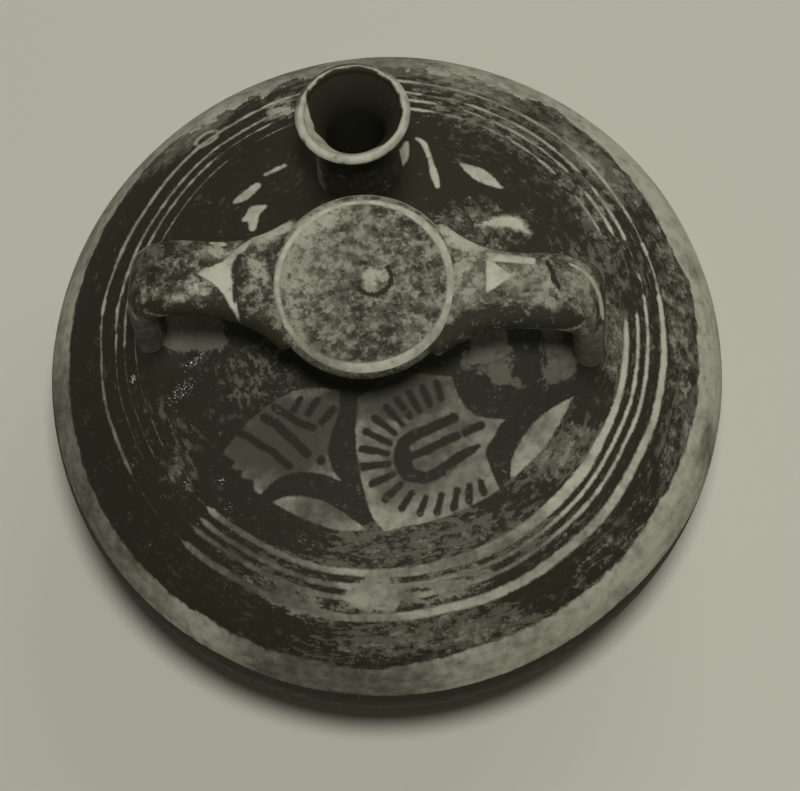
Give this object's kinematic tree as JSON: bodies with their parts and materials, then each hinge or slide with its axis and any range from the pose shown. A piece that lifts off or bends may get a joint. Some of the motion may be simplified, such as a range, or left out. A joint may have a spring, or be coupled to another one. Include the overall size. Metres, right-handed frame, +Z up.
{
  "type": "false-necked jar",
  "caption": "Squat closed clay jar with a disc-topped false neck, strap handles from disc to shoulder and a flared pouring spout; bands and flowers painted dark on pale clay.",
  "frame": {"origin": "centre of the foot ring, on the surface that the jar stands on", "axes": "+Z up along the jar's axis, +Y from the neck towards the spout, handles near -X and +X"},
  "size_m": [0.14, 0.14, 0.1081],
  "materials": {
    "painted_clay": "worn dark slip paint over pale fired clay",
    "bare_clay": "bare pale fired clay",
    "inner_clay": "unpainted fired clay, rough"
  },
  "bodies": {
    "root": {"foot_ring": "bare_clay", "bowl": "painted_clay", "belly_luting_coil": "inner_clay", "shoulder": "painted_clay", "false_neck": "painted_clay", "neck_disc": "painted_clay", "neck_luting_coil": "painted_clay", "handle_left": "painted_clay", "handle_left_luting_coil": "painted_clay", "handle_right": "painted_clay", "handle_right_luting_coil": "painted_clay", "spout": "painted_clay", "spout_luting_coil": "painted_clay"}
  },
  "joints": []
}
